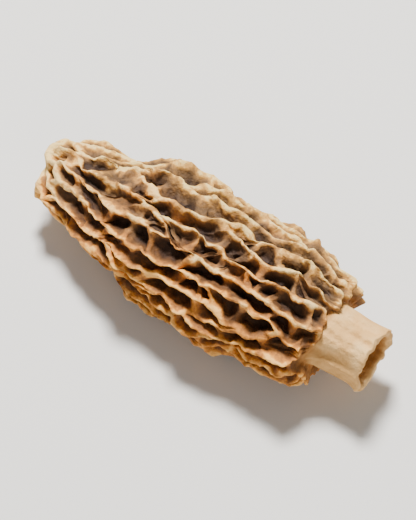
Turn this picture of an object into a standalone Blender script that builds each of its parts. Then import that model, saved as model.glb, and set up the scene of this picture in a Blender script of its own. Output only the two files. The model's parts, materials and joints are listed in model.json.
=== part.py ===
# Dried morel mushroom: one hollow body, a pitted cap on a short cut stem.
# It lies on its side on the XY plane. The tip points to -X and the cut stem to +X.
# The cap is a net of raised crests around deep pits, and the hollow opens at the stem's cut end.

import math
import random

import bmesh
import bpy
from mathutils import Matrix, Vector, noise
from mathutils.geometry import interpolate_bezier

MM = 0.001

# Cap outline from the tip to the turned-in rim, as (distance from the tip, half width) in mm.
# Each row is one cubic curve: start, two handles, end.
CAP_CURVES = (
    ((0.0, 0.0), (0.0, 4.0), (0.9, 5.0), (3.5, 5.4)),
    ((3.5, 5.4), (11.0, 6.5), (16.0, 9.7), (24.5, 9.7)),
    ((24.5, 9.7), (34.0, 9.7), (44.6, 9.6), (45.0, 6.0)),
)
CURVE_STEPS = 40
CAP_LENGTH = 45.0
WIDEST = 9.7
WIDTH_SHARE = 1.04       # of the half width, along Y
HEIGHT_SHARE = 0.81      # along Z: the cap dried a little flat

# Net of crests and pits
PIT_SPACING = 2.15       # least distance between pit centres around the cap, mm
PIT_STRETCH = 2.2        # a pit's length against its width, away from the tip and the rim
END_STRETCH = 1.3        # the same at the tip and at the rim
END_RUN = 8.0            # how far from the tip and the rim the pits are shorter, mm
TRIES = 6000
STRAND_ROUNDS = 2        # how often the crests are drawn into strands that run down the cap
STRAND_PULL = 0.5        # share of the way, each time
CREST_HALF = 0.32        # half the thickness of a crest, mm
CREST_ROUND = 0.15       # its edges lie this far below its middle, mm
PIT_DEPTH = 2.7          # on the wide part of the cap, mm
WIDE_PIT = 1.8           # mean half width from which a pit has its full depth, mm
FLOOR_SHARE = 0.42       # width of a pit's floor against its mouth
FLOOR_DISH = 0.25        # mm
SHORT_EDGE = 0.6         # crests shorter than this are closed up, mm
LONG_EDGE = 2.2          # a crest longer than this gets a point in its middle, mm
CREST_WAVE = 1.0         # sideways wander of the crests, mm
WAVE_RATE = 0.18         # waves for each mm
CROSS_DROP = 1.5         # how much lower the crests across the cap run, mm
LUMP = 1.0               # height of the broad lumps in the cap, mm
LUMP_RATE = 0.13         # lumps for each mm
RIM_MARGIN = 2.0         # no pit centre is nearer to the rim than this, mm
RIM_BEYOND = 0.04        # where the cells that bound the rim lie past it, on the net's scale
RIM_PITS = 24
RIM_DEPTH = 0.8          # share of a pit's depth at the rim
CORE = (7.5, 37.5)       # pits sink straight towards the axis between these distances from the tip, mm
CORE_REACH = 8.0         # nearer to that core than this, they are less deep, mm
SEED = 11                # for the places of the pits
WAVE_SEED = 14           # for the waves

# Pits on the side that faces up, as (distance from the tip, distance across) in mm, where
# across is measured from the middle of that side, positive towards -Y.
FACE_TURN = math.radians(20.0)
FACE_PITS = (
    (1.5, 2.0), (3.8, 0.8), (5.3, -3.0), (5.8, -0.9), (6.5, 3.1), (8.8, 1.3),
    (10.6, -3.5), (10.7, 3.6), (10.8, 6.3), (12.1, -6.4), (13.8, -3.8), (13.7, -0.4),
    (14.3, 4.7), (16.8, -3.2), (17.4, -0.5), (17.7, 2.5), (17.1, 6.2), (19.9, 7.6),
    (19.3, -6.1), (21.5, -0.9), (22.5, 4.4), (23.5, 1.9), (23.2, 8.9), (22.0, -8.0),
    (25.2, -6.2), (23.9, -2.8), (25.0, 6.6), (26.9, 2.2), (27.9, -1.0), (28.1, 4.9),
    (29.0, -8.6), (29.3, -4.4), (30.9, -2.4), (31.7, -0.4), (30.9, 7.6), (32.4, -7.4),
    (33.2, 3.7), (33.5, -4.6), (34.7, 1.3), (34.1, 8.3), (36.6, -5.4), (36.3, -2.6),
    (36.6, 6.8), (35.9, -0.9), (37.9, 4.1), (38.9, -7.2), (39.7, 0.0), (40.7, 2.6),
    (41.5, -3.0), (41.5, 5.2),
)

# Stem, as (distance from the tip, radius) in mm, from under the rim to the cut
STEM_SIDES = 24
STEM_OUTSIDE = ((43.8, 4.6), (45.4, 4.3), (47.3, 4.1), (49.4, 4.15), (51.2, 4.5))
ROOT_FLAT = 0.93         # height of the stem's root against its width, as the cap is flattened
BORE = ((51.0, 3.35), (48.0, 3.1), (44.0, 3.1))
# Hollow in the cap, as (distance from the tip, half width, half height) in mm
HOLLOW = ((40.5, 4.6, 3.5), (35.5, 5.8, 4.0), (28.0, 6.3, 4.3), (20.0, 5.6, 4.0),
          (13.0, 3.8, 2.8), (8.0, 2.5, 1.9), (5.0, 1.4, 1.1))
HOLLOW_TIP = 4.2
STEM_FOLDS = ((3, 0.055, 0.4), (5, 0.035, 2.1), (8, 0.02, 1.0))   # waves round, share, turn
RIM_TUCK = (0.84, 0.4)   # the underside runs in to this share of the rim's radius, and back by mm

FLAT_REACH = 0.01        # crests nearer than this to the belly's level are flat, mm
BELLY_PRESS = 0.8        # the lumps that it lies on are pressed in by this much, mm

COLOUR = (0.42, 0.235, 0.115, 1.0)
ROUGHNESS = 0.72
SHARP_ANGLE = math.radians(50.0)


def clear_scene():
    for old in list(bpy.data.objects):
        bpy.data.objects.remove(old, do_unlink=True)


def stretch_at(run, whole):
    """A pit's length against its width, at this run along an outline of this whole length."""
    share = min(1.0, run / END_RUN, (whole - run) / END_RUN)
    return END_STRETCH + (PIT_STRETCH - END_STRETCH) * share


def cap_outline():
    """Rows down the cap's outline: distance from the tip, half width, run so far, net scale so far."""
    points = []
    for curve in CAP_CURVES:
        corners = [Vector((along, radius, 0.0)) for along, radius in curve]
        points += interpolate_bezier(*corners, CURVE_STEPS)[1 if points else 0:]
    steps = [(after - before).length for before, after in zip(points, points[1:])]
    run = 0.0
    scale = 0.0
    rows = [(0.0, 0.0, 0.0, 0.0)]
    for step, point in zip(steps, points[1:]):
        run += step
        scale += step / (stretch_at(run, sum(steps)) * point.y)
        rows.append((point.x, point.y, run, scale))
    return rows


def lookup(rows, key, value, wanted):
    """Column wanted of the outline, read where column key reaches value."""
    for low, high in zip(rows, rows[1:]):
        if high[key] >= value:
            break
    share = (value - low[key]) / (high[key] - low[key])
    return low[wanted] + (high[wanted] - low[wanted]) * share


ROWS = cap_outline()
ALONG, RADIUS, RUN, SCALE = range(4)
MIDDLE_SCALE = lookup(ROWS, ALONG, CAP_LENGTH / 2, SCALE)


def on_ball(scale, turn):
    """Point of the unit ball on which the pits are spread; its -X pole is the tip."""
    polar = 2.0 * math.atan(math.exp(scale - MIDDLE_SCALE))
    around = math.sin(polar)
    return Vector((-math.cos(polar), -around * math.sin(turn), around * math.cos(turn)))


def on_cap(direction):
    """Point of the cap's outer surface that belongs to a direction on the ball, in mm."""
    polar = math.acos(max(-1.0, min(1.0, -direction.x)))
    scale = MIDDLE_SCALE + math.log(max(math.tan(polar / 2.0), 1e-6))
    scale = max(0.0, min(ROWS[-1][SCALE], scale))
    turn = math.atan2(-direction.y, direction.z)
    along = lookup(ROWS, SCALE, scale, ALONG)
    radius = lookup(ROWS, SCALE, scale, RADIUS)
    return Vector((along, -radius * WIDTH_SHARE * math.sin(turn), radius * HEIGHT_SHARE * math.cos(turn)))


def pit_places():
    """Pit centres as (run along the outline, turn around the axis): the chosen ones, then even ones."""
    places = []
    for along, across in FACE_PITS:
        radius = lookup(ROWS, ALONG, along, RADIUS)
        turn = FACE_TURN + math.asin(max(-0.97, min(0.97, across / radius)))
        places.append((lookup(ROWS, ALONG, along, RUN), turn))
    draw = random.Random(SEED)
    longest = ROWS[-1][RUN]
    for _ in range(TRIES):
        run = draw.uniform(0.0, longest - RIM_MARGIN)
        turn = draw.uniform(-math.pi, math.pi)
        radius = lookup(ROWS, RUN, run, RADIUS)
        stretch = stretch_at(run, longest)
        if draw.random() * WIDEST > radius:
            continue
        for other_run, other_turn in places:
            apart = abs(math.remainder(turn - other_turn, math.tau))
            if math.hypot((run - other_run) / stretch, radius * apart) < PIT_SPACING:
                break
        else:
            places.append((run, turn))
    return places


def draw_strands(bm):
    """Draw each junction towards its two most lengthwise neighbours, so that crests run on down the cap."""
    places = {}
    for vert in bm.verts:
        if not vert.is_boundary:
            ends = [edge.other_vert(vert).co for edge in vert.link_edges]
            ends.sort(key=lambda end: (end - vert.co).normalized().x)
            pull = STRAND_PULL * min(1.0, vert.co.x / END_RUN)
            places[vert] = vert.co.lerp((ends[0] + ends[-1]) / 2.0, pull)
    for vert, place in places.items():
        vert.co = place


def net_of_crests(bm):
    """Fill bm with one face for each pit: the mesh that is dual to the triangles between pit centres."""
    seeds = [bm.verts.new(on_ball(lookup(ROWS, RUN, run, SCALE), turn)) for run, turn in pit_places()]
    beyond = [bm.verts.new(on_ball(ROWS[-1][SCALE] + RIM_BEYOND, math.tau * step / RIM_PITS))
              for step in range(RIM_PITS)]
    bmesh.ops.convex_hull(bm, input=seeds + beyond)
    between = list(bm.edges)
    bmesh.ops.poke(bm, faces=bm.faces[:])
    bmesh.ops.rotate_edges(bm, edges=between, use_ccw=False)
    bmesh.ops.dissolve_verts(bm, verts=seeds)
    bmesh.ops.delete(bm, geom=beyond, context="VERTS")
    bmesh.ops.delete(bm, geom=[v for v in bm.verts if not v.link_faces], context="VERTS")
    for vert in bm.verts:
        vert.co = on_cap(vert.co.normalized())
    for _ in range(STRAND_ROUNDS):
        draw_strands(bm)
    short = [edge for edge in bm.edges if edge.calc_length() < SHORT_EDGE]
    bmesh.ops.collapse(bm, edges=short)


def shape_crests(bm):
    """Give the crests waves and broad lumps, and lower them where they cross the cap, less so at the tip.

    Returns how far each lowered vertex went down.
    """
    long_edges = [edge for edge in bm.edges if edge.calc_length() > LONG_EDGE]
    drops = {}
    for edge in long_edges:
        way = (edge.verts[1].co - edge.verts[0].co).normalized()
        middle = bmesh.utils.edge_split(edge, edge.verts[0], 0.5)[1]
        drops[middle] = CROSS_DROP * (1.0 - abs(way.x)) * min(1.0, middle.co.x / END_RUN)
    bm.normal_update()
    moves = []
    for vert in bm.verts:
        lump = LUMP * noise.noise(vert.co * LUMP_RATE)
        wave = CREST_WAVE * noise.noise_vector(vert.co * WAVE_RATE)
        moves.append(vert.normal * (lump - drops.get(vert, 0.0)) + wave)
    for vert, move in zip(bm.verts, moves):
        vert.co += move
    return drops


def press_belly(bm):
    """Press the lowest crests to one level, on which the morel rests, and return that level."""
    belly = min(vert.co.z for vert in bm.verts) + BELLY_PRESS
    for vert in bm.verts:
        vert.co.z = max(vert.co.z, belly)
    return belly


def sink_pit(bm, cell, drops, belly):
    """Turn one face of the net into a pit with a crest edge, a sloping wall and a dished floor.

    Crests are rounded, and flat where they lie at the belly's level.
    """
    centre = cell.calc_center_median_weighted()
    core = Vector((max(CORE[0], min(CORE[1], centre.x)), 0.0, 0.0))
    down = (core - centre).normalized()
    reach = sum((vert.co - centre).length for vert in cell.verts) / len(cell.verts)
    lowered = sum(drops.get(vert, 0.0) for vert in cell.verts) / len(cell.verts)
    depth = PIT_DEPTH * min(1.0, reach / WIDE_PIT) * min(1.0, (core - centre).length / CORE_REACH) - lowered
    if any(edge.is_boundary for edge in cell.edges):
        depth *= RIM_DEPTH
    corners = [loop.vert.co.copy() for loop in cell.loops]
    edge_ring = []
    for place, here in enumerate(corners):
        tangent = (corners[(place + 1) % len(corners)] - corners[place - 1]).normalized()
        inward = centre - here
        slant = inward.cross(tangent).length / inward.length
        step = min(CREST_HALF / max(slant, 0.5), 0.4 * inward.length)
        edge = here + inward.normalized() * step + down * CREST_ROUND
        if here.z - belly < FLAT_REACH:
            edge.z = belly
        edge_ring.append(edge)
    floor_ring = [centre + down * depth + (here - centre) * FLOOR_SHARE for here in corners]
    for ring in (edge_ring, floor_ring):
        cell = bmesh.ops.extrude_discrete_faces(bm, faces=[cell])["faces"][0]
        for loop, place in zip(cell.loops, ring):
            loop.vert.co = place
    bmesh.ops.poke(bm, faces=[cell], offset=-FLOOR_DISH)


def extend_ring(bm, edges, place):
    """Extrude a ring of edges and put each new vertex where place says."""
    made = bmesh.ops.extrude_edge_only(bm, edges=edges)["geom"]
    for vert in made:
        if isinstance(vert, bmesh.types.BMVert):
            vert.co = place(vert.co)
    return [edge for edge in made if isinstance(edge, bmesh.types.BMEdge) and edge.is_boundary]


def fold_share(turn):
    """How far the shrunken stem's folds stand out at a turn around its axis."""
    return 1.0 + sum(share * math.cos(waves * turn + start) for waves, share, start in STEM_FOLDS)


def add_stem_and_hollow(bm):
    """Close the net with the rim's underside, the stem, its bore and the hollow in the cap."""
    rim = [edge for edge in bm.edges if edge.is_boundary]
    share, back = RIM_TUCK
    tucked = extend_ring(bm, rim, lambda old: Vector((old.x - back, old.y * share, old.z * share)))
    root_along, root_radius = STEM_OUTSIDE[0]
    turned = Matrix.Translation((root_along, 0.0, 0.0)) @ Matrix.Rotation(math.pi / 2, 4, "Y")
    root = bmesh.ops.create_circle(bm, segments=STEM_SIDES, radius=root_radius, matrix=turned)["verts"]
    for vert in root:
        vert.co.z *= ROOT_FLAT
    ring = list({edge for vert in root for edge in vert.link_edges})
    bmesh.ops.bridge_loops(bm, edges=tucked + ring)
    stations = [(along, radius, radius, True) for along, radius in STEM_OUTSIDE[1:]]
    stations += [(along, radius, radius, False) for along, radius in BORE]
    stations += [(along, width, height, False) for along, width, height in HOLLOW]
    for along, width, height, outside in stations:
        def place(old):
            turn = math.atan2(old.z, old.y)
            fold = fold_share(turn) if outside else 1.0
            return Vector((along, width * fold * math.cos(turn), height * fold * math.sin(turn)))
        ring = extend_ring(bm, ring, place)
    end = bmesh.ops.edgeloop_fill(bm, edges=ring)["faces"]
    apex = bmesh.ops.poke(bm, faces=end)["verts"][0]
    apex.co = Vector((HOLLOW_TIP, 0.0, 0.0))
    bmesh.ops.recalc_face_normals(bm, faces=bm.faces[:])


def place_and_scale(bm):
    """Put the origin under the middle of the box that the morel fills, and turn mm into metres."""
    lows = Vector(min(vert.co[axis] for vert in bm.verts) for axis in range(3))
    highs = Vector(max(vert.co[axis] for vert in bm.verts) for axis in range(3))
    centre = (lows + highs) / 2.0
    bmesh.ops.translate(bm, verts=bm.verts[:], vec=(-centre.x, -centre.y, -lows.z))
    bmesh.ops.scale(bm, verts=bm.verts[:], vec=(MM, MM, MM))


def dried_flesh():
    material = bpy.data.materials.new("dried_flesh")
    material.use_nodes = True
    shader = material.node_tree.nodes["Principled BSDF"]
    shader.inputs["Base Color"].default_value = COLOUR
    shader.inputs["Roughness"].default_value = ROUGHNESS
    shader.inputs["Metallic"].default_value = 0.0
    return material


def build_morel():
    noise.seed_set(WAVE_SEED)
    bm = bmesh.new()
    net_of_crests(bm)
    drops = shape_crests(bm)
    belly = press_belly(bm)
    bm.normal_update()
    for cell in bm.faces[:]:
        sink_pit(bm, cell, drops, belly)
    add_stem_and_hollow(bm)
    place_and_scale(bm)
    bmesh.ops.triangulate(bm, faces=bm.faces[:])
    mesh = bpy.data.meshes.new("dried_morel")
    bm.to_mesh(mesh)
    bm.free()
    mesh.materials.append(dried_flesh())
    mesh.shade_smooth()
    mesh.set_sharp_from_angle(angle=SHARP_ANGLE)
    morel = bpy.data.objects.new("dried_morel", mesh)
    bpy.context.scene.collection.objects.link(morel)


clear_scene()
build_morel()
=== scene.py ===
# Dried morel mushroom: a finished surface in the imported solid's place, with floor, light and camera
import json
import math
import random
import bmesh
import bpy
from mathutils import Matrix, Vector, noise
from mathutils.geometry import interpolate_bezier


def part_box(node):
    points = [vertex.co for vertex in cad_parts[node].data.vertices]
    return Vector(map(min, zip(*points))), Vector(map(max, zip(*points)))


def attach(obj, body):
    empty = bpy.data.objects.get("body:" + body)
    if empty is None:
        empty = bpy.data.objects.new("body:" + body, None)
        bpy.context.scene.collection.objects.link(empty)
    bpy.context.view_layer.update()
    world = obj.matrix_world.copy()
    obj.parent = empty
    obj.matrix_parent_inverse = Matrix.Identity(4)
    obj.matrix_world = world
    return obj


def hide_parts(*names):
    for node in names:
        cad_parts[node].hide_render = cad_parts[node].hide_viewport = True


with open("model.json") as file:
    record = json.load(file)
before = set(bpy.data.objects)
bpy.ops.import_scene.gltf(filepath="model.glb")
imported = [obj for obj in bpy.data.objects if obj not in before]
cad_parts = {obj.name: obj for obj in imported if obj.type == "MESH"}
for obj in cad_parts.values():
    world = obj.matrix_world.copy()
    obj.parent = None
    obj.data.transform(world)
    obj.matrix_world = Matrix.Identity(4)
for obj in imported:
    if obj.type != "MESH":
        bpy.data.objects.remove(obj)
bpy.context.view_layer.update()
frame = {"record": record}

mm = 0.001
node = "dried_morel"

# Where the cap's axis lies in the frame: the stem's bore is centred on it, and the cut is the box's +X end
boreLow, boreHigh = frame["record"]["physics"]["openings"][0]["box_m"]
axisY = (boreLow[1] + boreHigh[1]) / 2
axisZ = (boreLow[2] + boreHigh[2]) / 2
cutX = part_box(node)[1][0]
bellyLevel = -axisZ / mm

# Cap in mm: curves of (distance from the tip, half width), each a start, two handles and an end
cap = {
    "curves": (((0.0, 0.0), (0.0, 4.0), (0.9, 5.0), (3.5, 5.4)),
               ((3.5, 5.4), (11.0, 6.5), (16.0, 9.7), (24.5, 9.7)),
               ((24.5, 9.7), (34.0, 9.7), (44.6, 9.6), (45.0, 6.0))),
    "curveSteps": 40,
    "length": 45.0,
    "widest": 9.7,
    "widthShare": 1.04,
    "heightShare": 0.81,      # it dried a little flat
    "lump": 1.0,              # broad lumps, and how many to a mm
    "lumpRate": 0.13,
}

# Net of crests, mm: the solid's own pits, with finer waves. Each rate is waves to a mm
net = {
    "spacing": 2.15,          # least distance between pit centres round the cap
    "stretch": 2.2,           # a pit's length against its width, then the same at the tip and rim
    "endStretch": 1.3,
    "endRun": 8.0,
    "tries": 6000,            # random places tried on the rest of the cap
    "seed": 11,
    "waveSeed": 14,
    "rimMargin": 2.0,
    "rimBeyond": 0.04,        # a ring of points this far beyond the rim closes the net
    "rimPits": 24,            # and has this many
    "steepest": 0.97,         # sine of the furthest turn at which a chosen pit is placed
    "strandRounds": 2,
    "strandPull": 0.5,
    "shortEdge": 0.6,         # crests shorter than this become one junction
    "segment": 0.84,          # longest piece of a crest
    "cutReach": 0.01,         # cut points lie further than this from a crest's ends
    "wave": 1.1,              # slow bends, then quick ones
    "waveRate": 0.18,
    "ripple": 0.8,
    "rippleRate": 0.5,
    "rimRipple": 0.4,         # share of the ripple along the rim
    "crossDrop": 1.5,         # crests across the cap dip by this much
    "crossGain": 1.6,         # more than 1 takes in the slanting ones too
    "crossFade": 0.5,         # and are painted this much darker, as painted shade for their lower place
    "fullDrop": 1.8,          # a crest shorter than this dips less
    "jag": 0.6,               # uneven height of the crests
    "jagRate": 0.4,
    "notch": 0.22,
    "notchRate": 1.1,
    "fade": 0.3,              # darker stretches of crest
    "fadeRate": 0.5,
}

# Pits on the side that faces up: (distance from the tip, distance across towards -Y), mm
faceTurn = math.radians(20.0)   # from the top of the cap towards -Y
facePits = (
    (1.5, 2.0), (3.8, 0.8), (5.3, -3.0), (5.8, -0.9), (6.5, 3.1), (8.8, 1.3),
    (10.6, -3.5), (10.7, 3.6), (10.8, 6.3), (12.1, -6.4), (13.8, -3.8), (13.7, -0.4),
    (14.3, 4.7), (16.8, -3.2), (17.4, -0.5), (17.7, 2.5), (17.1, 6.2), (19.9, 7.6),
    (19.3, -6.1), (21.5, -0.9), (22.5, 4.4), (23.5, 1.9), (23.2, 8.9), (22.0, -8.0),
    (25.2, -6.2), (23.9, -2.8), (25.0, 6.6), (26.9, 2.2), (27.9, -1.0), (28.1, 4.9),
    (29.0, -8.6), (29.3, -4.4), (30.9, -2.4), (31.7, -0.4), (30.9, 7.6), (32.4, -7.4),
    (33.2, 3.7), (33.5, -4.6), (34.7, 1.3), (34.1, 8.3), (36.6, -5.4), (36.3, -2.6),
    (36.6, 6.8), (35.9, -0.9), (37.9, 4.1), (38.9, -7.2), (39.7, 0.0), (40.7, 2.6),
    (41.5, -3.0), (41.5, 5.2),
)

# One pit, mm. Rings run from the crest's edge to the floor: (way in, way down, height for the colours). The
# colour height falls towards the floor: partly the flesh's own darker colour, partly painted shade down in
# the pit
pit = {
    "crestHalf": 0.46,        # half a crest's thickness
    "crestRound": 0.15,
    "depth": 2.4,
    "widePit": 1.8,           # mean half width from which a pit has its full depth
    "floorShare": 0.42,
    "mouthShare": 0.4,        # a crest takes no more of the way in than this
    "leastSlant": 0.5,        # keeps crests from widening in sharp corners
    "rings": ((0.0, 0.0, 0.88), (0.27, 0.33, 0.49), (0.64, 0.74, 0.25), (1.1, 1.0, 0.05)),
    "core": (7.5, 37.5),      # pits sink straight towards the axis between these
    "coreReach": 8.0,
    "rimDepth": 0.8,          # share of the depth along the rim
    "flatReach": 0.01,        # points this near the belly's plane lie in it
    "uneven": 1.1,            # how much the crests vary in thickness
    "unevenRate": 0.45,
    "tone": 1.1,              # some pits are paler and shallower
    "toneRate": 0.4,
    "shallow": 0.8,
    "ridgeReach": 1.7,        # mean half width from which a pit may hold a low ridge
    "ridgeShare": 0.5,        # share of those pits that do
    "ridgeSteps": 3,          # at least this many pieces
    "ridgeDrop": 1.5,
    "ridgeBend": 0.5,
    "ridgeHeight": 0.5,       # for the colours: darker than a crest, as painted shade for its lower place
    "ridgeSeed": 3,
}

# Stem and hollow, mm: rings of distance from the tip, half width and, inside, half height
stem = {
    "sides": 64,
    "rimTuck": (0.84, 0.4),     # share of the rim's width, and way back towards the tip
    "root": (43.8, 4.6, 0.93),  # distance from the tip, half width, height against width
    "outside": ((44.6, 4.42), (45.4, 4.3), (46.4, 4.17), (47.3, 4.1), (48.4, 4.1), (49.4, 4.15),
                (50.3, 4.3), (50.95, 4.48), (51.15, 4.4)),
    "lip": ((51.2, 4.1), (51.18, 3.75), (51.0, 3.4)),
    "inside": ((50.2, 3.25, 3.25), (48.0, 3.1, 3.1), (46.0, 3.1, 3.1), (44.0, 3.15, 3.1), (42.2, 3.8, 3.3),
               (40.5, 4.6, 3.5), (38.0, 5.2, 3.75), (35.5, 5.8, 4.0), (31.5, 6.1, 4.2), (28.0, 6.3, 4.3),
               (24.0, 6.0, 4.2), (20.0, 5.6, 4.0), (16.5, 4.8, 3.5), (13.0, 3.8, 2.8), (10.0, 3.0, 2.3),
               (7.5, 2.3, 1.75), (5.0, 1.4, 1.1)),
    "hollowTip": 4.2,
    # folds of the shrunken stem: (waves round, share of the radius, turn)
    "folds": ((3, 0.055, 0.4), (5, 0.035, 2.1), (8, 0.02, 1.0), (13, 0.015, 0.3), (19, 0.012, 2.6)),
    "cutRough": 0.6,            # the cut is ragged by this much
    "cutRate": 2.5,
    "cutOffset": 4.0,           # picks the pattern
    "tuckShare": 0.3,           # how much the tucked rim has of the stem's colour
    # heights for the colours; the low ones are painted shade under the rim and in the hollow
    "shades": {"tuck": 0.35, "outside": 0.75, "inside": 0.25},
}

# Fine shrinkage after smoothing: (size in mm, depth in mm)
wrinkles = {
    "cap": ((1.7, 0.24), (0.8, 0.2), (0.45, 0.08)),
    "stem": ((1.5, 0.3), (0.7, 0.16), (0.4, 0.06)),
    "stemFrom": 0.5,
    "stemDraw": (0.2, 1.0, 1.0),   # drawn out along the stem, as furrows
}


def stretchAt(run, whole):
    share = min(1.0, run / net["endRun"], (whole - run) / net["endRun"])
    return net["endStretch"] + (net["stretch"] - net["endStretch"]) * share


def capOutline():
    # rows of distance from the tip, half width, run so far and net scale so far, in mm but for the last
    points = []
    for curve in cap["curves"]:
        corners = [Vector((along, radius, 0.0)) for along, radius in curve]
        points += interpolate_bezier(*corners, cap["curveSteps"])[1 if points else 0:]
    steps = [(after - before).length for before, after in zip(points, points[1:])]
    run = 0.0
    scale = 0.0
    rows = [(0.0, 0.0, 0.0, 0.0)]
    for step, point in zip(steps, points[1:]):
        run += step
        scale += step / (stretchAt(run, sum(steps)) * point.y)
        rows.append((point.x, point.y, run, scale))
    return rows


def lookup(key, value, wanted):
    # one column of the cap's outline where another has this value
    for low, high in zip(rows, rows[1:]):
        if high[key] >= value:
            break
    share = (value - low[key]) / (high[key] - low[key])
    return low[wanted] + (high[wanted] - low[wanted]) * share


rows = capOutline()
along, radius, run, scale = range(4)
middleScale = lookup(along, cap["length"] / 2, scale)


def onBall(netScale, turn):
    # the cap drawn on a ball of radius 1, where pits keep their shapes, and below the way back
    polar = 2.0 * math.atan(math.exp(netScale - middleScale))
    around = math.sin(polar)
    return Vector((-math.cos(polar), -around * math.sin(turn), around * math.cos(turn)))


def onCap(direction):
    polar = math.acos(max(-1.0, min(1.0, -direction.x)))
    netScale = middleScale + math.log(max(math.tan(polar / 2.0), 1e-6))
    netScale = max(0.0, min(rows[-1][scale], netScale))
    turn = math.atan2(-direction.y, direction.z)
    half = lookup(scale, netScale, radius)
    return Vector((lookup(scale, netScale, along),
                   -half * cap["widthShare"] * math.sin(turn),
                   half * cap["heightShare"] * math.cos(turn)))


def pitPlaces():
    # the chosen pits first, then evenly spread ones round the rest of the cap
    places = []
    for fromTip, across in facePits:
        half = lookup(along, fromTip, radius)
        turn = faceTurn + math.asin(max(-net["steepest"], min(net["steepest"], across / half)))
        places.append((lookup(along, fromTip, run), turn))
    draw = random.Random(net["seed"])
    longest = rows[-1][run]
    for _ in range(net["tries"]):
        here = draw.uniform(0.0, longest - net["rimMargin"])
        turn = draw.uniform(-math.pi, math.pi)
        half = lookup(run, here, radius)
        stretch = stretchAt(here, longest)
        if draw.random() * cap["widest"] > half:
            continue
        for otherRun, otherTurn in places:
            apart = abs(math.remainder(turn - otherTurn, math.tau))
            if math.hypot((here - otherRun) / stretch, half * apart) < net["spacing"]:
                break
        else:
            places.append((here, turn))
    return places


def drawStrands(bm):
    # each junction drawn towards its two most lengthwise neighbours, so crests run on down the cap
    places = {}
    for vert in bm.verts:
        if not vert.is_boundary:
            ends = [edge.other_vert(vert).co for edge in vert.link_edges]
            ends.sort(key=lambda end: (end - vert.co).normalized().x)
            pull = net["strandPull"] * min(1.0, vert.co.x / net["endRun"])
            places[vert] = vert.co.lerp((ends[0] + ends[-1]) / 2, pull)
    for vert, place in places.items():
        vert.co = place


def netOfCrests(bm):
    # pit centres on a ball, joined by triangles; swapping each edge for its cross edge gives one face a pit
    seeds = [bm.verts.new(onBall(lookup(run, here, scale), turn)) for here, turn in pitPlaces()]
    beyond = [bm.verts.new(onBall(rows[-1][scale] + net["rimBeyond"], math.tau * step / net["rimPits"]))
              for step in range(net["rimPits"])]
    bmesh.ops.convex_hull(bm, input=seeds + beyond)
    between = list(bm.edges)
    bmesh.ops.poke(bm, faces=bm.faces[:])
    bmesh.ops.rotate_edges(bm, edges=between, use_ccw=False)
    bmesh.ops.dissolve_verts(bm, verts=seeds)
    bmesh.ops.delete(bm, geom=beyond, context="VERTS")
    bmesh.ops.delete(bm, geom=[v for v in bm.verts if not v.link_faces], context="VERTS")
    for vert in bm.verts:
        vert.co = onCap(vert.co.normalized())
    for _ in range(net["strandRounds"]):
        drawStrands(bm)
    short = [edge for edge in bm.edges if edge.calc_length() < net["shortEdge"]]
    bmesh.ops.collapse(bm, edges=short)


def waveCrests(bm, crest, lowered):
    # crests cut into short pieces, so that they wander, ripple and dip where they cross the cap
    for edge in bm.edges[:]:
        start, end = (vert.co.copy() for vert in edge.verts)
        whole = (end - start).length
        cuts = math.ceil(whole / net["segment"]) - 1
        if cuts < 1:
            continue
        made = bmesh.ops.bisect_edges(bm, edges=[edge], cuts=cuts)["geom_split"]
        crossing = min(1.0, net["crossGain"] * (1.0 - abs((end - start).normalized().x)))
        crossing *= min(1.0, whole / net["fullDrop"])
        for vert in made:
            way = (vert.co - start).length if isinstance(vert, bmesh.types.BMVert) else 0.0
            if net["cutReach"] < way < whole - net["cutReach"]:
                dip = math.sin(math.pi * (way / whole))
                beyondTip = min(1.0, vert.co.x / net["endRun"])
                vert[lowered] = net["crossDrop"] * crossing * beyondTip * dip
    bm.normal_update()
    moves = []
    for vert in bm.verts:
        lump = cap["lump"] * noise.noise(vert.co * cap["lumpRate"])
        wave = net["wave"] * noise.noise_vector(vert.co * net["waveRate"])
        ripple = net["ripple"] * noise.noise_vector(vert.co * net["rippleRate"])
        if vert.is_boundary:
            ripple *= net["rimRipple"]
        jag = net["jag"] * noise.noise(vert.co * net["jagRate"])
        jag += net["notch"] * noise.noise(vert.co * net["notchRate"])
        moves.append(vert.normal * (lump + jag - vert[lowered]) + wave + ripple)
        patchyTone = net["fade"] * max(0.0, noise.noise(vert.co * net["fadeRate"]))
        # crests dipped across the cap are painted darker, as painted shade; the noise gives random darker
        # stretches
        vert[crest] = 1.0 - net["crossFade"] * vert[lowered] / net["crossDrop"] - patchyTone
    for vert, move in zip(bm.verts, moves):
        vert.co += move
        vert.co.z = max(vert.co.z, bellyLevel)


def sizeUp(cell):
    # a pit's centre, the core point that it sinks towards, and its mean half width
    centre = cell.calc_center_median_weighted()
    core = Vector((max(pit["core"][0], min(pit["core"][1], centre.x)), 0.0, 0.0))
    reach = sum((vert.co - centre).length for vert in cell.verts) / len(cell.verts)
    return centre, core, reach


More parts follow.
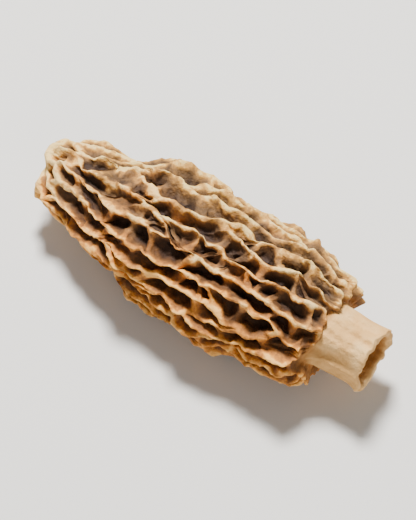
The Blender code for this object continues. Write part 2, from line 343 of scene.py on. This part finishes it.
def addLowRidges(bm, crest, lowered):
    # about half of the wide pits are parted by a low, bent ridge that dips between two points of their crest
    draw = random.Random(pit["ridgeSeed"])
    for cell in bm.faces[:]:
        centre, core, reach = sizeUp(cell)
        corners = list(cell.verts)
        start = draw.randrange(len(corners))
        bend = draw.uniform(-1.0, 1.0) * pit["ridgeBend"]
        if draw.random() > pit["ridgeShare"] or reach < pit["ridgeReach"]:
            continue
        one = corners[start]
        other = corners[(start + len(corners) // 2) % len(corners)]
        down = (core - centre).normalized()
        aside = down.cross(other.co - one.co).normalized()
        count = max(pit["ridgeSteps"], round((other.co - one.co).length / net["segment"]))
        places = []
        for step in range(1, count):
            dip = math.sin(math.pi * step / count)
            place = one.co.lerp(other.co, step / count)
            places.append(place + down * pit["ridgeDrop"] * math.sqrt(dip) + aside * bend * dip)
        half = bmesh.utils.face_split(cell, one, other, coords=places)[0]
        for vert in half.verts:
            if vert not in corners:
                vert[lowered] = pit["ridgeDrop"]
                # the low ridge is painted darker than a crest, as painted shade for its lower place
                vert[crest] = pit["ridgeHeight"]


def sinkPit(bm, cell, crest, lowered):
    # rings from the crest's edge down to the floor, straight towards the core
    centre, core, reach = sizeUp(cell)
    down = (core - centre).normalized()
    depth = pit["depth"] * min(1.0, reach / pit["widePit"])
    depth *= min(1.0, (core - centre).length / pit["coreReach"])
    tone = max(0.0, noise.noise(centre * pit["toneRate"]))
    depth *= 1.0 - pit["shallow"] * tone
    depth -= sum(vert[lowered] for vert in cell.verts) / len(cell.verts)
    if any(edge.is_boundary for edge in cell.edges):
        depth *= pit["rimDepth"]
    corners = [loop.vert.co.copy() for loop in cell.loops]
    tops = []
    for place, here in enumerate(corners):
        tangent = (corners[(place + 1) % len(corners)] - corners[place - 1]).normalized()
        inward = centre - here
        slant = inward.cross(tangent).length / inward.length
        thick = pit["crestHalf"] * (1.0 + pit["uneven"] * noise.noise(here * pit["unevenRate"]))
        step = min(thick / max(slant, pit["leastSlant"]), pit["mouthShare"] * inward.length)
        top = here + inward.normalized() * step + down * pit["crestRound"]
        if here.z - bellyLevel < pit["flatReach"]:
            top.z = bellyLevel
        tops.append(top)
    floors = [centre + (here - centre) * pit["floorShare"] for here in corners]
    shares = [loop.vert[crest] for loop in cell.loops]
    for wayIn, wayDown, height in pit["rings"]:
        cell = bmesh.ops.extrude_discrete_faces(bm, faces=[cell])["faces"][0]
        for loop, top, floor, share in zip(cell.loops, tops, floors, shares):
            flat = top.lerp(floor, wayIn)
            loop.vert.co = flat + down * depth * wayDown
            # darker towards the floor: partly the flesh's own colour, partly painted shade in the pit
            loop.vert[crest] = (height + pit["tone"] * tone * (1.0 - height)) * share
    bmesh.ops.poke(bm, faces=[cell])


def extendRing(bm, edges, place):
    # one more ring from an open edge, each of its points put where place says
    made = bmesh.ops.extrude_edge_only(bm, edges=edges)["geom"]
    for vert in made:
        if isinstance(vert, bmesh.types.BMVert):
            vert.co = place(vert.co)
    return [edge for edge in made if isinstance(edge, bmesh.types.BMEdge) and edge.is_boundary]


def foldShare(turn):
    # radius of the folded stem against a round one
    return 1.0 + sum(share * math.cos(waves * turn + start) for waves, share, start in stem["folds"])


def addStemAndHollow(bm, crest, onStem):
    # the rim turned in, a bridge to the stem's root, then rings out to the cut and back to the hollow's tip
    rim = [edge for edge in bm.edges if edge.is_boundary]
    share, back = stem["rimTuck"]
    tucked = extendRing(bm, rim, lambda old: Vector((old.x - back, old.y * share, old.z * share)))
    for edge in tucked:
        for vert in edge.verts:
            vert[onStem] = stem["tuckShare"]
            vert[crest] = stem["shades"]["tuck"]
    rootAlong, rootRadius, rootFlat = stem["root"]
    turned = Matrix.Translation((rootAlong, 0.0, 0.0)) @ Matrix.Rotation(math.pi / 2, 4, "Y")
    root = bmesh.ops.create_circle(bm, segments=stem["sides"], radius=rootRadius, matrix=turned)["verts"]
    for vert in root:
        vert.co.z *= rootFlat
        vert[onStem] = 1.0
        vert[crest] = stem["shades"]["tuck"]
    ring = list({edge for vert in root for edge in vert.link_edges})
    bmesh.ops.bridge_loops(bm, edges=tucked + ring)
    stations = [(at, half, half, True) for at, half in stem["outside"] + stem["lip"]]
    stations += [(at, width, height, False) for at, width, height in stem["inside"]]
    for at, width, height, outside in stations:
        rough = stem["cutRough"] * max(0.0, 1.0 - abs(at - stem["lip"][0][0]))

        def place(old):
            turn = math.atan2(old.z, old.y)
            fold = foldShare(turn) if outside else 1.0
            rate = stem["cutRate"]
            spot = Vector((rate * math.cos(turn), rate * math.sin(turn), stem["cutOffset"]))
            reach = at + rough * noise.noise(spot) - rough / 2
            return Vector((reach, width * fold * math.cos(turn), height * fold * math.sin(turn)))
        ring = extendRing(bm, ring, place)
        for edge in ring:
            for vert in edge.verts:
                vert[onStem] = 1.0
                vert[crest] = stem["shades"]["outside" if outside else "inside"]
    end = bmesh.ops.edgeloop_fill(bm, edges=ring)["faces"]
    apex = bmesh.ops.poke(bm, faces=end)["verts"][0]
    apex.co = Vector((stem["hollowTip"], 0.0, 0.0))
    apex[onStem] = 1.0
    bmesh.ops.recalc_face_normals(bm, faces=bm.faces[:])


def subdivided(piece, levels):
    # a Subdivision Surface, applied, so that the fine wrinkles can follow on its points
    modifier = piece.modifiers.new("smooth", "SUBSURF")
    modifier.levels = levels
    modifier.render_levels = levels
    evaluated = piece.evaluated_get(bpy.context.evaluated_depsgraph_get())
    mesh = bpy.data.meshes.new_from_object(evaluated)
    piece.modifiers.clear()
    piece.data = mesh


def wrinkle(piece):
    # fine shrinkage, then the move into the frame, with the belly flat on the floor
    mesh = piece.data
    stemShare = mesh.attributes["stemShare"].data
    shift = Vector((cutX - stem["lip"][0][0] * mm, axisY, axisZ))
    for vert, share in zip(mesh.vertices, stemShare):
        move = Vector()
        onStem = share.value > wrinkles["stemFrom"]
        drawn = vert.co * Vector(wrinkles["stemDraw"]) if onStem else vert.co
        for size, depth in wrinkles["stem" if onStem else "cap"]:
            move += depth * noise.noise_vector(drawn / size)
        vert.co = (vert.co + move) * mm + shift
        vert.co.z = max(vert.co.z, 0.0)
    mesh.update()


def buildMorel():
    noise.seed_set(net["waveSeed"])
    bm = bmesh.new()
    netOfCrests(bm)
    print("net of crests:", len(bm.faces), "pits")
    crest = bm.verts.layers.float.new("crestHeight")
    onStem = bm.verts.layers.float.new("stemShare")
    lowered = bm.verts.layers.float.new("lowered")
    waveCrests(bm, crest, lowered)
    addLowRidges(bm, crest, lowered)
    bm.normal_update()
    for cell in bm.faces[:]:
        sinkPit(bm, cell, crest, lowered)
    addStemAndHollow(bm, crest, onStem)
    print("pits sunk, stem and hollow joined:", len(bm.faces), "faces")
    mesh = bpy.data.meshes.new("morelFlesh")
    bm.to_mesh(mesh)
    bm.free()
    mesh.shade_smooth()
    piece = bpy.data.objects.new("morelFlesh", mesh)
    bpy.context.scene.collection.objects.link(piece)
    subdivided(piece, 1)
    wrinkle(piece)
    return piece


def hexColour(code):
    # an sRGB hex value turned to the linear values that shaders take
    parts = [int(code[start:start + 2], 16) / 255 for start in (1, 3, 5)]
    return [part / 12.92 if part < 0.04045 else ((part + 0.055) / 1.055) ** 2.4 for part in parts] + [1.0]


def addNode(tree, kind, values=None, links=None, stops=None, **settings):
    # sockets by name or number; in a Mix node 0 is the factor, 2 and 3 are values, 6 and 7 colours
    made = tree.nodes.new(kind)
    for name, value in settings.items():
        setattr(made, name, value)
    for socket, value in (values or {}).items():
        made.inputs[socket].default_value = value
    for socket, source in (links or {}).items():
        tree.links.new(source, made.inputs[socket])
    if stops:
        ramp = made.color_ramp.elements
        while len(ramp) < len(stops):
            ramp.new(1.0)
        for element, (position, code) in zip(ramp, stops):
            element.position = position
            element.color = hexColour(code)
    return made


# Flesh colours from the floor of a pit up to the crest top: the flesh's own browns and cream, darkened down
# the pit by painted shade and whitened along the crest top by a painted highlight; and sizes of the patterns
# in mm
flesh = {
    "pitStops": ((0.0, "#3a2a22"), (0.2, "#4e392a"), (0.42, "#6a4f36"), (0.62, "#916a43"),
                 (0.78, "#bf8a49"), (0.9, "#eab468"), (0.98, "#ffdb98")),
    "stemStops": ((0.2, "#7d4c22"), (0.42, "#b57c3c"), (0.62, "#e0ae6a"), (0.85, "#fbd698")),
    "tintStops": ((0.38, "#fcdcaa"), (0.5, "#fdf6e8"), (0.62, "#f2f0dc")),
    "sideShare": 0.4,         # how much the tint follows the flanks, against patches
    "sideReach": 9.0,
    # painted light at the tip: paler by this much of the colour height, fading out over the next value in mm
    "tipPale": 0.22,
    "tipReach": 7.0,
    "stemShade": 0.5,         # share of the stem's shade heights, with their painted shade, against mottling
    "patch": 4.5,
    "mottle": 3.0,
    "grain": 0.8,
    "fine": 0.3,
    "detail": 4.0,            # of all four patterns
    "spread": 0.32,           # how far the mottling shifts the height for the colours
    "mottleRange": (0.6, 1.4),  # of two patterns added up
    "rough": (0.6, 0.88),
    "coarseBump": (0.9, 0.3),   # strength, and height in mm
    "fineBump": (0.9, 0.12),
    "ior": 1.45,
    "specular": 0.35,
}


def driedFlesh():
    # Air-dried fungus flesh, shrunk and leathery: matt; pale on the crests, their own colour with a painted
    # highlight along the tops; dark down in the pits, their own colour with painted shade
    material = bpy.data.materials.new("driedFlesh")
    material.use_nodes = True
    tree = material.node_tree
    shader = tree.nodes["Principled BSDF"]
    shader.inputs["IOR"].default_value = flesh["ior"]
    shader.inputs["Specular IOR Level"].default_value = flesh["specular"]
    place = addNode(tree, "ShaderNodeTexCoord").outputs["Object"]
    axes = addNode(tree, "ShaderNodeSeparateXYZ", {}, {0: place}).outputs
    crest = addNode(tree, "ShaderNodeAttribute", attribute_name="crestHeight").outputs["Fac"]
    onStem = addNode(tree, "ShaderNodeAttribute", attribute_name="stemShare").outputs["Fac"]
    patterns = []
    for name in ("patch", "mottle", "grain", "fine"):
        values = {"Scale": 1 / (flesh[name] * mm), "Detail": flesh["detail"]}
        patterns.append(addNode(tree, "ShaderNodeTexNoise", values, {"Vector": place}).outputs["Fac"])
    patch, mottle, grain, fine = patterns

    # height for the colours: the crest attribute, which holds painted shade and highlight, mottled, and
    # painted paler towards the tip as painted light
    uneven = addNode(tree, "ShaderNodeMath", {}, {0: mottle, 1: grain}, operation="ADD").outputs[0]
    low, high = flesh["mottleRange"]
    values = {"From Min": low, "From Max": high, "To Min": -flesh["spread"], "To Max": flesh["spread"]}
    spread = addNode(tree, "ShaderNodeMapRange", values, {"Value": uneven}).outputs[0]
    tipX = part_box(node)[0][0]
    values = {"From Min": tipX, "From Max": tipX + flesh["tipReach"] * mm,
              "To Min": flesh["tipPale"], "To Max": 0.0}
    pale = addNode(tree, "ShaderNodeMapRange", values, {"Value": axes["X"]}).outputs[0]
    mottled = addNode(tree, "ShaderNodeMath", {}, {0: crest, 1: spread}, operation="ADD").outputs[0]
    height = addNode(tree, "ShaderNodeMath", {}, {0: mottled, 1: pale}, operation="ADD",
                     use_clamp=True).outputs[0]
    pitColour = addNode(tree, "ShaderNodeValToRGB", {}, {"Fac": height}, flesh["pitStops"]).outputs["Color"]

    # a warmer tint on the -Y flank and a greyer one on the other, in patches
    reach = flesh["sideReach"] * mm
    values = {"From Min": -reach, "From Max": reach}
    side = addNode(tree, "ShaderNodeMapRange", values, {"Value": axes["Y"]}).outputs[0]
    zone = addNode(tree, "ShaderNodeMix", {0: flesh["sideShare"]}, {2: patch, 3: side}).outputs[0]
    tint = addNode(tree, "ShaderNodeValToRGB", {}, {"Fac": zone}, flesh["tintStops"]).outputs["Color"]
    tinted = addNode(tree, "ShaderNodeMix", {0: 1.0}, {6: pitColour, 7: tint}, data_type="RGBA",
                     blend_type="MULTIPLY").outputs[2]

    # the stem: pale outside; browner inside the hollow and where the rim shades it, both painted shade
    # mottling mixed with the stem's heights, which carry painted shade under the rim and in the hollow
    patchyTone = addNode(tree, "ShaderNodeMix", {0: flesh["stemShade"]}, {2: mottle, 3: crest}).outputs[0]
    stemColour = addNode(tree, "ShaderNodeValToRGB", {}, {"Fac": patchyTone}, flesh["stemStops"]).outputs["Color"]
    colour = addNode(tree, "ShaderNodeMix", {}, {0: onStem, 6: tinted, 7: stemColour},
                     data_type="RGBA").outputs[2]

    # matt and finely grained all over
    low, high = flesh["rough"]
    rough = addNode(tree, "ShaderNodeMapRange", {"To Min": low, "To Max": high}, {"Value": grain}).outputs[0]
    strength, rise = flesh["coarseBump"]
    coarse = addNode(tree, "ShaderNodeBump", {"Strength": strength, "Distance": rise * mm},
                     {"Height": grain}).outputs[0]
    strength, rise = flesh["fineBump"]
    bump = addNode(tree, "ShaderNodeBump", {"Strength": strength, "Distance": rise * mm},
                   {"Height": fine, "Normal": coarse}).outputs[0]
    tree.links.new(colour, shader.inputs["Base Color"])
    tree.links.new(rough, shader.inputs["Roughness"])
    tree.links.new(bump, shader.inputs["Normal"])
    return material


# Studio, in metres. Each light: name, place, side and watts
studio = {
    "floorHalf": 1.5,
    "floorColour": "#e9e6e0",
    "floorRough": 0.9,
    "floorSpecular": 0.2,
    "worldColour": "#f4f2ee",
    "worldStrength": 0.27,
    "lights": (("key", (-0.15, 0.2, 0.54), 0.12, 9.0), ("fill", (0.35, -0.4, 0.35), 0.4, 0.9)),
    "azimuth": 35.0,          # degrees from looking along +Y
    "elevation": 60.0,
    "distance": 0.6,
    "lens": 325.0,
}


def paleFloor():
    # Painted board, rolled matt: a pale ground without shine
    material = bpy.data.materials.new("paleBoard")
    material.use_nodes = True
    tree = material.node_tree
    shader = tree.nodes["Principled BSDF"]
    shader.inputs["Base Color"].default_value = hexColour(studio["floorColour"])
    shader.inputs["Roughness"].default_value = studio["floorRough"]
    shader.inputs["Specular IOR Level"].default_value = studio["floorSpecular"]
    bm = bmesh.new()
    bmesh.ops.create_grid(bm, x_segments=1, y_segments=1, size=studio["floorHalf"])
    mesh = bpy.data.meshes.new("floorBoard")
    bm.to_mesh(mesh)
    bm.free()
    mesh.materials.append(material)
    floor = bpy.data.objects.new("floorBoard", mesh)
    bpy.context.scene.collection.objects.link(floor)


def softLights():
    world = bpy.data.worlds.new("studioWorld")
    world.use_nodes = True
    backdrop = world.node_tree.nodes["Background"]
    backdrop.inputs["Color"].default_value = hexColour(studio["worldColour"])
    backdrop.inputs["Strength"].default_value = studio["worldStrength"]
    bpy.context.scene.world = world
    for name, place, size, power in studio["lights"]:
        lamp = bpy.data.lights.new(name, "AREA")
        lamp.size = size
        lamp.energy = power
        light = bpy.data.objects.new(name, lamp)
        light.location = place
        light.rotation_euler = Vector(place).to_track_quat("Z", "Y").to_euler()
        bpy.context.scene.collection.objects.link(light)


def lookDown():
    # the cap lies with its tip to the upper left and is seen on its upper side
    turn = math.radians(studio["azimuth"])
    rise = math.radians(studio["elevation"])
    way = Vector((math.sin(turn) * math.cos(rise), -math.cos(turn) * math.cos(rise), math.sin(rise)))
    low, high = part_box(node)
    aim = (Vector(low) + Vector(high)) / 2
    data = bpy.data.cameras.new("camera")
    data.lens = studio["lens"]
    camera = bpy.data.objects.new("camera", data)
    camera.location = aim + way * studio["distance"]
    camera.rotation_euler = way.to_track_quat("Z", "Y").to_euler()
    bpy.context.scene.collection.objects.link(camera)
    bpy.context.scene.camera = camera


morel = buildMorel()
morel.data.materials.append(driedFlesh())
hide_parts(node)
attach(morel, "root")
print("morel flesh:", len(morel.data.polygons), "faces")
paleFloor()
softLights()
lookDown()
print("floor, light and camera set")
